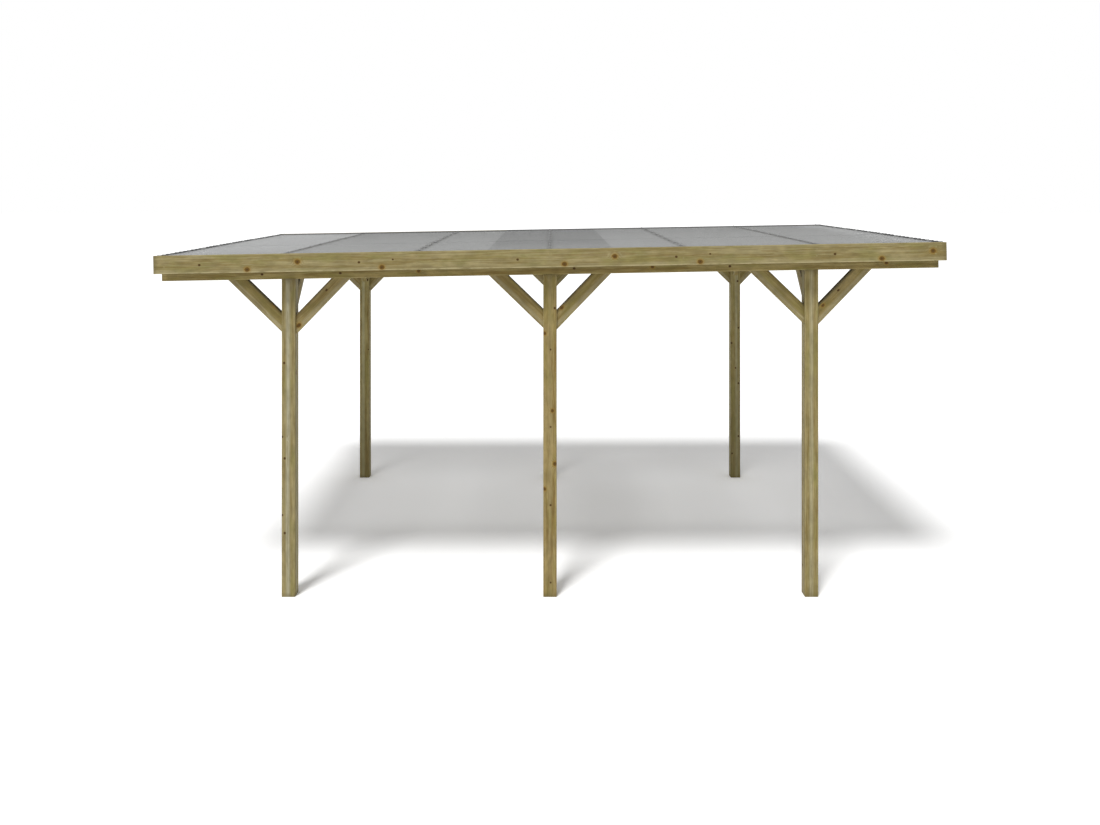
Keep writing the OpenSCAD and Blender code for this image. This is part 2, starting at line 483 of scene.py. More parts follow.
    def _timber(self) -> Graph:
        """The whole face of a member: tones, rings, fibres, knots, rubbed edges (partly a painted highlight),
        end grain and painted shade.

        Returns:
            The group's graph.
        """
        g = Graph.group("treated_pine", ("Vector", "Nearest", "Nearest Tight", "Pith", "Half Size", "Seed",
                                         "Grain Way", "Band", "Band Place", "Tint", "Wear", "Wear Width",
                                         "Upper Wear", "Dark Streaks", "Soil", "Damp"),
                        ("Color", "Roughness", "Height"))
        place, half, seed = g.take("Vector"), g.take("Half Size"), g.take("Seed")
        marks = g.use(self.marks, Vector=place, Nearest=g.take("Nearest"), Seed=seed)
        fibre = g.use(self.fibre, Vector=place, Seed=seed)
        late = g.use(self.rings, Vector=place, Pith=g.take("Pith"), Seed=seed, Push=marks["Push"])["Late"]
        arris = g.use(self.arris, Vector=place, Half_Size=half, Seed=seed, Width=g.take("Wear Width"),
                      Upper_Wear=g.take("Upper Wear"))
        light = g.times(g.ramp(fibre["Fibre"], *self.FIBRE_LIGHT),
                        g.ramp(fibre["Blotch"], *self.BLOTCH_LIGHT))
        grey = g.add("ShaderNodeCombineColor", {0: light, 1: light, 2: light}).outputs[0]
        from_foot = g.parts(g.vector("ADD", place, half))[0]
        normal = g.add("ShaderNodeNewGeometry").outputs["Normal"]
        end = g.math("ABSOLUTE", g.vector("DOT_PRODUCT", normal, g.take("Grain Way")))

        tone = g.layers(
            self.STRAW,
            (g.ramp(fibre["Streak"], *self.OLIVE_STEP), self.OLIVE),
            (g.times(g.ramp(fibre["Mottle"], *self.MOSS_STEP), self.MOSS_SHARE), self.MOSS),
            (g.times(g.ramp(fibre["Streak"], *self.DARK_STEP), g.take("Dark Streaks")), self.LATE),
            (self._band(g), self.SAGE),
            (g.times(late, self.LATE_SHARE), self.LATE))
        for shade in (grey, g.take("Tint")):
            tone = g.mix(1.0, tone, shade, "MULTIPLY")
        tone = g.layers(
            tone,
            # Rubbed edges; on the fascias they also stand for a painted highlight.
            (g.times(arris["Wear"], g.take("Wear")), self.RUBBED_AND_HIGHLIT),
            (g.times(arris["Soaked"], self.SOAKED_SHARE), self.SOAKED_AND_SHADE),
            # Painted shade, darker towards the foot.
            (g.times(g.fade(from_foot, *self.FOOT_SHADE_STEP), g.take("Damp")), self.SOAKED_AND_SHADE),
            # Painted shade on one narrow face.
            (self._painted_top_shade(g, fibre["Streak"]), self.TOP_SHADE),
            (g.times(g.math("POWER", marks["Halo"], self.HALO_POWER), self.HALO_SHARE), self.HALO),
            (marks["Core"], g.mix(marks["Eye"], self.HEART, self.EYE)),
            (g.times(marks["Rim"], self.RIM_SHARE), self.RIM),
            (g.fade(g.take("Nearest Tight"), *self.TIGHT_STEP), self.TIGHT),
            (g.times(g.ramp(end, *self.END_STEP), self.END_SHARE), self.END))

        rough = g.plus(g.ramp(fibre["Fibre"], *self.DRY_STEP), marks["Core"], self.KNOT_GLOSS)
        height = g.plus(g.times(fibre["Fibre"], self.FIBRE_HEIGHT), late, self.RING_HEIGHT)
        g.give(Color=tone, Roughness=rough, Height=g.plus(height, marks["Core"], self.KNOT_HEIGHT))
        return g

    def _painted_top_shade(self, g: Graph, streak: Socket) -> Socket:
        """Painted shade on one narrow face, which fades out in streaks on the faces next to it.

        A positive amount lies on the face at the high end of w, and a negative one at its low end.

        Args:
            g: The graph that it is added to.
            streak: Noise along the grain, which breaks the dirt up.

        Returns:
            The painted shade's weight.
        """
        top_shade = g.take("Soil")
        w, half = g.parts(g.take("Vector"))[2], g.parts(g.take("Half Size"))[2]
        gap = g.math("SUBTRACT", half, g.times(w, g.math("SIGN", top_shade)))
        fading = g.fade(g.swung(gap, streak, self.TOP_SHADE_SWING), *self.TOP_SHADE_STEP)
        return g.times(fading, g.math("ABSOLUTE", top_shade))

    def _band(self, g: Graph) -> Socket:
        """A pale band of sapwood along each face, which wanders across the grain.

        On a face square to v it is measured along w, and on a face square to w along v.

        Args:
            g: The graph that it is added to.

        Returns:
            The band's weight.
        """
        place = g.take("Vector")
        _, v, w = g.parts(place)
        _, v_gap, w_gap = g.parts(g.vector("SUBTRACT", g.take("Half Size"), g.vector("ABSOLUTE", place)))
        middle = g.swung(g.take("Band Place"), g.noise(place, self.WANDER, g.take("Seed")), self.BAND_SWING)
        bands = []
        for across, gap in ((w, v_gap), (v, w_gap)):
            off = g.math("ABSOLUTE", g.math("SUBTRACT", across, middle))
            bands.append(g.times(g.fade(gap, *self.FACE_STEP), g.fade(off, *self.BAND_STEP)))
        return g.times(g.math("MAXIMUM", *bands), g.take("Band"))


@dataclass(frozen=True)
class PineFinish:
    """How a member's pine is dressed: grain, pale band, tint, rubbed edges (partly a painted highlight), dark
    streaks and painted shade.
    """

    grain_depth: float = 0.0012
    grain_strength: float = 0.35
    specular: float = 0.3
    band: float = 0.3
    band_place: float = 0.0
    tint: str = "ffffff"
    wear: float = 0.4
    wear_width: float = 0.0065
    upper_wear: float = 1.0
    dark_streaks: float = 0.15
    top_shade: float = 0.0
    foot_shade: float = 0.0

    def dress(self, groups: PineGroups, member: "Member") -> bpy.types.Material:
        """Makes the member's own material, with its grain, pith and knots.

        Args:
            groups: The shared node groups.
            member: The member to dress.

        Returns:
            The material.
        """
        g, made, shader = Graph.material(f"{member.node}_pine")
        place = g.place(member.centre, member.run.value)
        nearest: dict[bool, Feed] = {False: FAR, True: FAR}
        for knot in member.knots:
            fine = tuple(1.0 / reach for reach in knot.reach)
            nearest[knot.tight] = g.use(groups.knot, Vector=place, Centre=knot.centre, Fineness=fine,
                                        Nearest=nearest[knot.tight])["Nearest"]
        face = g.use(groups.timber, Vector=place, Nearest=nearest[False], Nearest_Tight=nearest[True],
                     Pith=member.pith, Half_Size=(member.half_length, *member.half_section),
                     Grain_Way=member.grain_way(), Seed=member.seed, Band=self.band,
                     Band_Place=self.band_place, Tint=linear(self.tint), Wear=self.wear,
                     Wear_Width=self.wear_width, Upper_Wear=self.upper_wear,
                     Dark_Streaks=self.dark_streaks, Soil=self.top_shade, Damp=self.foot_shade)
        bump = g.add("ShaderNodeBump", {"Strength": self.grain_strength, "Distance": self.grain_depth,
                                        "Height": face["Height"]})
        g.feed(shader, {"Base Color": face["Color"], "Roughness": face["Roughness"],
                        "Normal": bump.outputs["Normal"], "Specular IOR Level": self.specular})
        return made


@dataclass
class Member:
    """A straight timber: the CAD node that it dresses, the run of its grain and its half section.

    Spare knots lie at drawn places. Where the front is bare, they stay off the front face.
    """

    node: str
    run: Run
    half_section: Pair
    seed: float
    seen: tuple[Knot, ...] = ()
    spare: int = 4
    bare_front: bool = False
    half_length: float = 0.0
    off_line: float = 0.0

    PITH_OFF = (0.5, 1.5)
    ALONG = (-0.46, 0.46)
    ASIDE = (-0.8, 0.8)
    KNOT_SIZE = (0.005, 0.0125)
    KNOT_STRETCH = 1.45
    KNOT_DEPTH = 0.9
    EDGE_SIZE = 0.6
    EDGE_ASIDE = 0.4
    EDGE_DEPTH = 0.016

    def __post_init__(self) -> None:
        """Finds the member's centre, its pith and the knots on its other faces."""
        low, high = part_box(self.node)
        self.centre: Point = tuple(np.array((low + high) / 2) + self.off_line * self.run.matrix()[:, 2])
        self.length = max(high - low)
        self.half_length = self.half_length or self.length / 2
        draw = np.random.default_rng(int(self.seed * 10) + 7)
        angle = draw.uniform(0.0, 2.0 * math.pi)
        off = draw.uniform(*self.PITH_OFF) * max(self.half_section)
        self.pith: Point = (0.0, off * math.cos(angle), off * math.sin(angle))
        self.knots = (*self.seen, *self._drawn(draw))

    def _drawn(self, draw: np.random.Generator) -> Iterator[Knot]:
        """Knots at drawn places, each through one face: u anywhere, and half sizes in proportion.

        Args:
            draw: The member's own draws.

        Returns:
            The knots.
        """
        v_half, w_half = self.half_section
        for _ in range(self.spare):
            u = draw.uniform(*self.ALONG) * self.length
            size = draw.uniform(*self.KNOT_SIZE)
            side = draw.choice((-1.0, 1.0))
            share = draw.uniform(*self.ASIDE)
            if draw.random() < w_half / (v_half + w_half):
                face = v_half if self.bare_front else side * v_half
                yield Knot((u, face, share * w_half),
                           (size * self.KNOT_STRETCH, self.KNOT_DEPTH * v_half, size))
            else:
                size = min(size, self.EDGE_SIZE * v_half)
                yield Knot((u, self.EDGE_ASIDE * share * v_half, side * w_half),
                           (size * self.KNOT_STRETCH, size, self.EDGE_DEPTH))

    def grain_way(self) -> Point:
        """The direction of the grain, in the object's frame."""
        return tuple(self.run.matrix()[:, 0])

    def wear(self, groups: PineGroups, finish: PineFinish) -> None:
        """Puts the member's own pine on its CAD node.

        Args:
            groups: The shared node groups.
            finish: How its pine is dressed.
        """
        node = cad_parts[self.node]
        node.data.materials.clear()
        node.data.materials.append(finish.dress(groups, self))
        LOG.info("dressed %s with %d knots", self.node, len(self.knots))


@dataclass
class Posts:
    """Six square posts; the knots that show are given as height, place across the front and half size.

    A post that is listed with its knots has no drawn ones on its front.
    """

    half: float = 0.045
    knot_stretch: float = 1.15
    knot_depth: float = 0.06
    first_seed: float = 3.1
    seed_step: float = 1.7
    finish: PineFinish = PineFinish(band=0.7, band_place=0.002, tint="fffdf4")
    # The rear posts stand in the roof's shade: their yellower tint and their darkening towards the foot are
    # painted shade, and their heavier dark streaks are grain made darker for that shade.
    rear_shaded_finish: PineFinish = PineFinish(band=1.0, band_place=0.010, tint="ffffeb", dark_streaks=0.75,
                                         foot_shade=0.5)
    own_finish: dict[str, PineFinish] = field(default_factory=lambda: {
        "front_left_post": PineFinish(band=0.95, band_place=0.002),
        "front_middle_post": PineFinish(band=0.2, tint="fff6e4", dark_streaks=0.6),
        # Painted shade here too: darker towards the foot.
        "rear_right_post": PineFinish(band=0.8, band_place=-0.012, tint="fffff0", dark_streaks=0.25,
                                      foot_shade=0.5),
    })
    knots: dict[str, tuple[Point, ...]] = field(default_factory=lambda: {
        "front_left_post": ((0.426, -0.024, 0.008), (0.546, -0.040, 0.007), (0.924, -0.024, 0.008),
                            (1.068, -0.040, 0.007), (1.560, -0.028, 0.008)),
        "front_middle_post": ((0.096, 0.004, 0.006), (0.612, 0.004, 0.007), (0.720, -0.036, 0.010),
                              (0.888, 0.032, 0.012), (1.134, 0.004, 0.006), (1.242, 0.016, 0.010),
                              (1.650, 0.004, 0.006), (1.758, -0.036, 0.010), (1.926, 0.032, 0.008)),
        "front_right_post": (),
        "rear_left_post": ((1.206, 0.036, 0.006), (1.860, 0.028, 0.009)),
        "rear_right_post": ((0.228, -0.032, 0.008), (0.390, 0.028, 0.009), (0.888, 0.028, 0.009),
                            (1.032, 0.0, 0.008), (1.266, -0.036, 0.009), (1.410, 0.028, 0.009),
                            (1.848, 0.020, 0.009)),
    })

    def dress(self, groups: PineGroups) -> None:
        """Dresses every post with upright grain.

        Args:
            groups: The shared node groups.
        """
        for i, post in enumerate(POSTS):
            low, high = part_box(post)
            middle = (low.z + high.z) / 2
            seen = seen_knots(((z - middle, -x, size) for z, x, size in self.knots.get(post, ())),
                              -self.half, self.knot_stretch, self.knot_depth)
            finish = self.finish if post.startswith("front") else self.rear_shaded_finish
            Member(post, Run.UPRIGHT, (self.half, self.half), self.first_seed + self.seed_step * i, seen,
                   bare_front=post in self.knots).wear(groups, self.own_finish.get(post, finish))


@dataclass
class RoofTimbers:
    """Purlins, rafters and fascia boards; the knots that show are given as u, w and half size.

    A pair of spare knots' numbers is for the front and the rear.
    """

    purlin_half: Pair = (0.045, 0.045)
    fascia_half: Pair = (0.009, 0.060)
    end_fascia_half: Pair = (0.009, 0.051)
    purlin_stretch: float = 1.25
    fascia_stretch: float = 1.15
    purlin_spare: tuple[int, int] = (5, 11)
    fascia_spare: tuple[int, int] = (0, 13)
    rafter_spare: int = 7
    end_fascia_spare: int = 8
    purlin_seed: float = 21.3
    fascia_seed: float = 31.9
    rafter_seed: float = 41.2
    end_fascia_seed: float = 55.4
    # The purlins and rafters lie in shade under the roof: their yellower tint is painted shade.
    shaded_beam_finish: PineFinish = PineFinish(band=0.1, tint="fff8e0")
    # Rubbed edges that stand for a painted highlight along the fascias' lower edges, with less on the top
    # edges.
    board_finish: PineFinish = PineFinish(band=0.15, band_place=-0.05, wear=0.95, wear_width=0.0125,
                                          upper_wear=0.25)
    rafters: tuple[str, ...] = ("left_end", "left_post", "left_bay", "middle", "right_bay", "right_post",
                                "right_end")
    fascia_knots: tuple[Point, ...] = (
        (-2.294, -0.005, 0.008), (-1.982, -0.040, 0.014), (-1.652, 0.005, 0.014), (-1.250, -0.005, 0.008),
        (-1.100, -0.040, 0.014), (-1.028, 0.010, 0.006), (-0.212, -0.005, 0.008), (0.094, -0.040, 0.014),
        (0.424, 0.005, 0.014), (0.826, -0.005, 0.008), (0.982, -0.040, 0.014), (1.048, 0.010, 0.006),
        (1.864, -0.005, 0.008), (2.170, -0.040, 0.014), (2.506, 0.005, 0.014))
    purlin_knots: tuple[Point, ...] = (
        (-1.922, -0.011, 0.008), (-1.400, -0.011, 0.008), (-0.878, -0.007, 0.009), (0.160, -0.007, 0.008),
        (0.682, -0.007, 0.009), (1.198, -0.011, 0.008), (2.242, -0.007, 0.009))

    def dress(self, groups: PineGroups) -> None:
        """Dresses the roof's timbers with grain along each.

        Args:
            groups: The shared node groups.
        """
        beams = seen_knots(self.purlin_knots, -self.purlin_half[0], self.purlin_stretch)
        boards = seen_knots(self.fascia_knots, -self.fascia_half[0], self.fascia_stretch)
        for i, (row, on_beam, on_board) in enumerate((("front", beams, boards), ("rear", (), ()))):
            Member(f"{row}_purlin", Run.ALONG, self.purlin_half, self.purlin_seed + i, on_beam,
                   self.purlin_spare[i], row == "front").wear(groups, self.shaded_beam_finish)
            Member(f"{row}_fascia", Run.ALONG, self.fascia_half, self.fascia_seed + i, on_board,
                   self.fascia_spare[i]).wear(groups, self.board_finish)
        for i, name in enumerate(self.rafters):
            Member(f"{name}_rafter", Run.ACROSS, RAFTER_HALF, self.rafter_seed + i,
                   spare=self.rafter_spare).wear(groups, self.shaded_beam_finish)
        for i, side in enumerate(("left", "right")):
            Member(f"{side}_end_fascia", Run.ACROSS, self.end_fascia_half, self.end_fascia_seed + i,
                   spare=self.end_fascia_spare).wear(groups, self.board_finish)


@dataclass
class KneeBraces:
    """Braces along the purlins and across the roof; knots are given from the foot and the outer edge.

    The outer edge is the diagonal of a brace's box, so its centre line lies half a width inside it.
    Its half length is set past its slanted ends, so that none of them looks soaked.
    """

    half: Pair = (0.0225, 0.045)
    outer_length: float = 0.5162
    knot_stretch: float = 1.4
    spare: int = 1
    first_seed: float = 61.5
    seed_step: float = 3.3
    # Painted shade on each brace's top face, which lies in the roof's shade.
    finish: PineFinish = PineFinish(band=0.7, band_place=-0.026, tint="fbf4e4", top_shade=0.7)
    left_finish: PineFinish = PineFinish(band=0.7, band_place=0.026, tint="fbf4e4", top_shade=-0.7)
    knots: dict[str, tuple[Point, ...]] = field(default_factory=lambda: {
        "front_left_post_right_brace": ((0.052, 0.027, 0.012), (0.350, 0.058, 0.007)),
        "front_middle_post_right_brace": ((0.125, 0.078, 0.010),),
        "front_right_post_right_brace": ((0.115, 0.066, 0.009), (0.260, 0.062, 0.0075)),
    })

    def dress(self, groups: PineGroups) -> None:
        """Dresses every brace with grain along it.

        Args:
            groups: The shared node groups.
        """
        for i, post in enumerate(POSTS):
            across = Run.UP_REAR if post.startswith("front") else Run.UP_FRONT
            kinds = (("left_brace", Run.UP_LEFT, -self.half[1], self.left_finish),
                     ("right_brace", Run.UP_RIGHT, self.half[1], self.finish),
                     ("cross_brace", across, self.half[1], self.finish))
            for j, (kind, run, off_line, finish) in enumerate(kinds):
                node = f"{post}_{kind}"
                places = ((u - self.outer_length / 2, w - self.half[1], size)
                          for u, w, size in self.knots.get(node, ()))
                seen = seen_knots(places, -self.half[0], self.knot_stretch)
                Member(node, run, self.half, self.first_seed + self.seed_step * i + j, seen, self.spare, True,
                       self.outer_length, off_line).wear(groups, finish)


class SheetZones(NamedTuple):
    """A place on the roof, along and across it, and the weight of each zone there: painted shade, painted
    light and dust.
    """

    u: Socket
    v: Socket
    rafter: Socket
    edge: Socket
    lit_end: Socket
    lapped: Socket
    dust: Socket


@dataclass(frozen=True)
class SheetFinish:
    """Smoked see-through roof sheet: its greys, its zones of painted shade and painted light, how much it
    covers and its gloss.

    The shade is how much it covers for the light that falls through it. It rises to the borders.
    """

    grey: str = "929392"
    # Painted shade: the sheet turns darker towards the rear.
    rear_shade_grey: str = "838483"
    # Painted light on the open end bays and the front strip.
    lit_grey: str = "a5a6a6"
    # Painted shade of the rafters under the sheet.
    rafter_shade_grey: str = "5a5a58"
    # Painted shade: dark strips over the end rafters and along the rear edge.
    edge: str = "2e2f2e"
    # Painted shade: the double sheet in the lap is darker.
    lapped: str = "7f807f"
    rear_lapped_shade: str = "767776"
    dust: str = "a09d93"
    shade_to_rear: Step = (-0.8, 1.1)
    front_light: Step = (-1.42, -0.7, 0.35, 0.0)
    rafter_shade_shares: Pair = (0.9, 0.4)
    edge_shade_share: float = 0.9

    rafter_blur: Pair = (-0.014, 0.020)
    bay_share: float = 0.65
    edge_blur: float = 0.02
    rear_edge: float = 1.26
    rear_facing_shade: Step = (-0.4, -0.1, 1.0, 0.5)
    lit_end_blur: float = 0.03
    right_lit_end: Step = (2.5 * BAY, END_RAFTER, 0.0, 0.75)
    lap_half: float = 0.41
    lap_blur: float = 0.003
    valley: Step = (-1.0, -0.2)
    streaks: Pattern = Pattern((1.3, 22.0, 0.0), 4.0, 0.6)
    streak_step: Step = (0.42, 0.75)
    dust_share: float = 0.5

    cover: float = 0.68
    edge_cover: float = 0.25
    dust_cover: float = 0.2
    under_cover: float = 0.12
    glance_blend: float = 0.5
    glance_step: Step = (0.55, 1.0)
    glance_cover: float = 0.97
    shade: float = 0.70
    lap_shade: float = 0.52
    shade_rise: float = 0.25
    rear_rise: Step = (-0.1, 1.1)
    front_rise: Step = (-1.35, -0.7, 0.3, 0.0)
    left_rise: Step = (-2.4, -1.9, 0.7, 0.0)
    right_rise: Step = (1.5, 2.5)

    gloss: float = 0.3
    edge_rough: float = 0.9
    dust_rough: float = 0.4
    refraction: float = 1.49
    clear_faces: int = 40

    def dress(self) -> bpy.types.Material:
        """Makes the sheet's material: painted shade over the rafters, the lap, the end strips and the rear,
        painted light over the open ends and the front, and dust in the valleys.

        Returns:
            The material.
        """
        g, made, shader = Graph.material("smoked_roof_sheet")
        zones = self._zones(g)
        rough = g.plus(g.ramp(zones.edge, 0.0, 1.0, self.gloss, self.edge_rough), zones.dust, self.dust_rough)
        g.feed(shader, {"Base Color": self._tone(g, zones), "Roughness": rough,
                        "Alpha": self._cover(g, zones), "IOR": self.refraction})
        bpy.context.scene.cycles.transparent_max_bounces = self.clear_faces
        return made

    def _zones(self, g: Graph) -> SheetZones:
        """Finds the zones: rafters by u, every second one over posts, and valleys by the cosine of v.

        Args:
            g: The material's graph.

        Returns:
            The place and the zones' weights.
        """
        place = g.place(ROOF_PIVOT, Run.ALONG.value)
        u, v, _ = g.parts(place)
        from_middle = g.math("ABSOLUTE", u)
        blur = [RAFTER_HALF[0] + off for off in self.rafter_blur]
        # Painted shade over the rafters: full over the posts, weaker between them.
        over_post = g.fade(g.math("PINGPONG", u, BAY), *blur)
        between = g.ramp(g.math("PINGPONG", g.math("SUBTRACT", u, BAY), BAY), *blur, self.bay_share, 0.0)
        # Painted shade at the borders: the strips over the end rafters, and, along the rear edge, the flanks
        # that face the front.
        end = g.ramp(from_middle, END_RAFTER - self.edge_blur, END_RAFTER)
        facing = g.parts(g.add("ShaderNodeNewGeometry").outputs["Normal"])[1]
        rear = g.times(g.ramp(v, self.rear_edge - self.edge_blur, self.rear_edge + self.edge_blur),
                       g.ramp(facing, *self.rear_facing_shade))
        # Painted light over the end bays beyond the posts: full at the left, rising at the right.
        left = g.fade(u, -2.0 * BAY - self.lit_end_blur, -2.0 * BAY + self.lit_end_blur)
        lapped = g.fade(from_middle, self.lap_half - self.lap_blur, self.lap_half + self.lap_blur)
        valley = g.fade(g.math("COSINE", g.times(v, 2.0 * math.pi / WAVE_PITCH)), *self.valley)
        streak = g.ramp(g.noise(place, self.streaks), *self.streak_step)
        return SheetZones(u, v, g.math("MAXIMUM", over_post, between), g.math("MAXIMUM", end, rear),
                          g.math("MAXIMUM", left, g.ramp(u, *self.right_lit_end)), lapped,
                          g.times(g.times(valley, streak), self.dust_share))

    def _tone(self, g: Graph, zones: SheetZones) -> Feed:
        """Paints the zones over the sheet's grey: painted shade, painted light and dust.

        Args:
            g: The material's graph.
            zones: The zones' weights.

        Returns:
            The colour.
        """
        # Painted shade: darker towards the rear, over the grey and over the lap.
        shade_to_rear = g.ramp(zones.v, *self.shade_to_rear)
        return g.layers(
            g.mix(shade_to_rear, linear(self.grey), linear(self.rear_shade_grey)),
            # Painted light: the end bays beyond the posts are lighter.
            (zones.lit_end, linear(self.lit_grey)),
            # Painted shade: the lap is darker.
            (zones.lapped, g.mix(shade_to_rear, linear(self.lapped), linear(self.rear_lapped_shade))),
            # Painted light: a lighter strip along the front.
            (g.ramp(zones.v, *self.front_light), linear(self.lit_grey)),
            # Painted shade over the rafters under the sheet, weaker in the lap.
            (g.times(zones.rafter, g.ramp(zones.lapped, 0.0, 1.0, *self.rafter_shade_shares)),
             linear(self.rafter_shade_grey)),
            # Painted shade: dark strips over the end rafters and along the rear edge.
            (g.times(zones.edge, self.edge_shade_share), linear(self.edge)),
            (zones.dust, linear(self.dust)))

    def _cover(self, g: Graph, zones: SheetZones) -> Socket:
        """How much the sheet covers: more at a glancing angle, at the edges and under dust.

        Only tinted faces have that cover, and light that falls through them meets the shade instead.

        Args:
            g: The material's graph.
            zones: The zones' weights.

        Returns:
            The cover.
        """
        rise = g.ramp(zones.v, *self.rear_rise)
        borders = ((zones.v, self.front_rise), (zones.u, self.left_rise), (zones.u, self.right_rise))
        for place, step in borders:
            rise = g.math("MAXIMUM", rise, g.ramp(place, *step))
        shade = g.ramp(zones.lapped, 0.0, 1.0, g.plus(self.shade, rise, self.shade_rise),
                       g.plus(self.lap_shade, rise, self.shade_rise / 2))
        least = g.plus(g.plus(self.cover, zones.dust, self.dust_cover), zones.edge, self.edge_cover)
        glance = g.add("ShaderNodeLayerWeight", {"Blend": self.glance_blend}).outputs["Facing"]
        seen = g.ramp(glance, *self.glance_step, least, self.glance_cover)
        falling = g.add("ShaderNodeLightPath").outputs["Is Shadow Ray"]
        tinted = g.add("ShaderNodeAttribute", attribute_name=TINTED).outputs["Fac"]
        return g.ramp(tinted, 0.0, 1.0, self.under_cover, g.ramp(falling, 0.0, 1.0, seen, shade))


def linked(name: str, data: bpy.types.ID) -> bpy.types.Object:
    """Makes an object of a mesh, lamp or camera.

    Args:
        name: The object's name.
        data: What it shows.

    Returns:
        The object, linked to the scene.
    """
    made = bpy.data.objects.new(name, data)
    bpy.context.scene.collection.objects.link(made)
    return made


def surface(name: str, points: np.ndarray, *faces: np.ndarray, sharp: float = 40.0) -> bpy.types.Object:
    """Puts arrays of points and faces into a mesh object at the origin.

    Args:
        name: The piece's name.
        points: One row of x, y and z per corner.
        faces: Arrays with one row of corner numbers per face.
        sharp: Edges that turn by more than this, in degrees, stay sharp.

    Returns:
        The object, linked to the scene.
    """
    rows = [row for part in faces for row in part.tolist()]
    mesh = bpy.data.meshes.new(name)
    mesh.from_pydata(points.tolist(), [], rows)
    mesh.polygons.foreach_set("use_smooth", np.ones(len(rows), bool))
    mesh.set_sharp_from_angle(angle=math.radians(sharp))
    mesh.update()
    return linked(name, mesh)


def on_slope(x: np.ndarray, y: np.ndarray, level: np.ndarray) -> np.ndarray:
    """Places points of the sloping roof frame: a turn about Y round the roof's pivot.

    Args:
        x: Places along the roof.
        y: Places across it.
        level: Heights square to the slope, from the underside of the purlins.

    Returns:
        Points in the object's frame, with one more axis than the arguments.
    """
    s = math.radians(ROOF_SLOPE)
    up = level - PIVOT_LEVEL
    return np.stack([x * math.cos(s) - up * math.sin(s), y + 0.0 * x,
                     ROOF_PIVOT[2] + x * math.sin(s) + up * math.cos(s)], -1)


